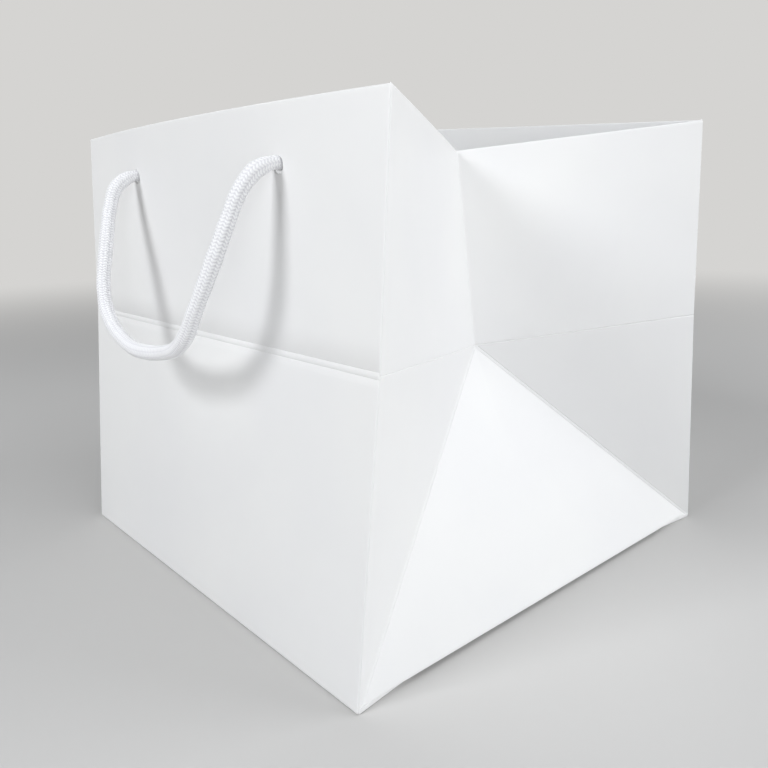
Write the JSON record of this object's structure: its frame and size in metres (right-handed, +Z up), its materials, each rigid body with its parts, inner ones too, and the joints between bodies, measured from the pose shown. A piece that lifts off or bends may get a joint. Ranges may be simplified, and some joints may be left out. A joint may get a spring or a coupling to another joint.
{
  "type": "paper carrier bag",
  "caption": "Open square-bottomed carrier bag of white laminated card with folded-in side gussets, a loose base board and hanging rope handles.",
  "frame": {"origin": "middle of the base, on the surface that the bag stands on", "axes": "+Z up, +X along the front panel towards the right-hand gusset, front panel at -Y"},
  "size_m": [0.215, 0.2526, 0.1913],
  "materials": {
    "laminated_card": "white card with a matt film laminate",
    "white_board": "uncoated white-lined board",
    "knitted_rope": "white knitted polypropylene rope"
  },
  "bodies": {
    "root": {"bag_sheet": "laminated_card", "base_board": "white_board", "front_handle_rope": "knitted_rope", "front_right_knot": "knitted_rope", "front_left_knot": "knitted_rope", "back_handle_rope": "knitted_rope", "back_right_knot": "knitted_rope", "back_left_knot": "knitted_rope"}
  },
  "joints": []
}
